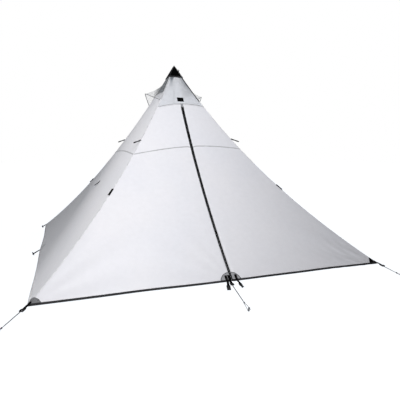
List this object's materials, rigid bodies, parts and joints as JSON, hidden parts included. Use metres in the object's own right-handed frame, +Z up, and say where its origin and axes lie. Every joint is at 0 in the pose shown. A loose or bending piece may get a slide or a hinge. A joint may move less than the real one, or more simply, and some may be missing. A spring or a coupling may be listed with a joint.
{
  "type": "pyramid tent",
  "caption": "Floorless square pyramid shelter on a telescoping centre pole, with a zipped front door, two peaked vents under the cap, and stakes holding its corners and hems.",
  "frame": {"origin": "on the ground, at the middle of the centre pole's rubber foot", "axes": "+X to the right along the front hem seen from in front, +Y from the front to the back, +Z up through the peak"},
  "size_m": [3.0319, 3.2755, 1.9],
  "materials": {
    "canopy_cloth": "smooth silicone-coated ripstop cloth, slightly translucent",
    "shade_cloth": "smooth coated cloth, light grey",
    "cone_cloth": "black reinforced cloth, matte",
    "vent_net": "fine black netting",
    "webbing": "black woven webbing",
    "zip_tape": "black zip tape with a moulded coil",
    "black_plastic": "moulded, satin black",
    "black_metal": "die-cast, painted black",
    "cord": "thin braided cord, light grey",
    "stake_alloy": "extruded, bright anodised",
    "pole_alloy": "drawn tube, dark anodised",
    "rubber": "moulded, matte"
  },
  "bodies": {
    "canopy": {"back_left_ridge_loop": "cord", "back_left_ridge_tab": "webbing", "back_left_stake": "stake_alloy", "back_left_webbing": "webbing", "back_mid_stake": "stake_alloy", "back_mid_webbing": "webbing", "back_panel": "canopy_cloth", "back_right_ridge_loop": "cord", "back_right_ridge_tab": "webbing", "back_right_stake": "stake_alloy", "back_right_webbing": "webbing", "buckle_socket": "black_plastic", "buckle_strap": "webbing", "front_left_guyline": "cord", "front_left_lock": "black_plastic", "front_left_panel": "canopy_cloth", "front_left_ridge_loop": "cord", "front_left_ridge_tab": "webbing", "front_left_stake": "stake_alloy", "front_left_webbing": "webbing", "front_mid_guyline": "cord", "front_mid_lock": "black_plastic", "front_mid_stake": "stake_alloy", "front_mid_webbing": "webbing", "front_right_guyline": "cord", "front_right_lock": "black_plastic", "front_right_ridge_loop": "cord", "front_right_ridge_tab": "webbing", "front_right_stake": "stake_alloy", "front_right_webbing": "webbing", "front_right_yoke": "canopy_cloth", "front_top_panel": "shade_cloth", "left_mid_stake": "stake_alloy", "left_mid_webbing": "webbing", "left_panel": "canopy_cloth", "left_panel_tab": "webbing", "left_vent_brim": "black_plastic", "left_vent_hood": "shade_cloth", "left_vent_mesh": "vent_net", "peak_cone": "cone_cloth", "peak_cup": "black_plastic", "pole_clamp": "black_plastic", "pole_foot": "rubber", "pole_lower": "pole_alloy", "right_mid_stake": "stake_alloy", "right_mid_webbing": "webbing", "right_panel": "canopy_cloth", "right_panel_tab": "webbing", "right_vent_brim": "black_plastic", "right_vent_hood": "shade_cloth", "right_vent_mesh": "vent_net", "zip_chain_left": "zip_tape"},
    "door": {"door_panel": "canopy_cloth", "zip_chain_right": "zip_tape", "door_strap": "webbing", "buckle_plug": "black_plastic"},
    "slider": {"zip_slider": "black_metal"},
    "pull": {"zip_pull": "black_metal"},
    "upper_pole": {"pole_upper": "pole_alloy"},
    "lever": {"pole_lever": "black_plastic"}
  },
  "joints": [
    {"name": "door_fold", "type": "hinge", "parent": "canopy", "child": "door", "pos_m": [1.215, -1.39376, 0.05], "axis": [-0.5529, 0.5238, 0.648], "range_deg": [0, 150]},
    {"name": "zip_run", "type": "hinge", "parent": "canopy", "child": "slider", "pos_m": [0, -6.61499, 5.43711], "axis": [-1, 0, 0], "range_deg": [0, 13.3]},
    {"name": "pull_flip", "type": "hinge", "parent": "slider", "child": "pull", "pos_m": [0, -0.27503, 1.43505], "axis": [-1, 0, 0], "range_deg": [0, 170]},
    {"name": "pole_extend", "type": "slide", "parent": "canopy", "child": "upper_pole", "axis": [0, 0, 1], "range_m": [-0.45, 0]},
    {"name": "clamp_lever", "type": "hinge", "parent": "canopy", "child": "lever", "pos_m": [0.0215, 0, 0.94295], "axis": [0, 0, -1], "range_deg": [0, 115]}
  ]
}
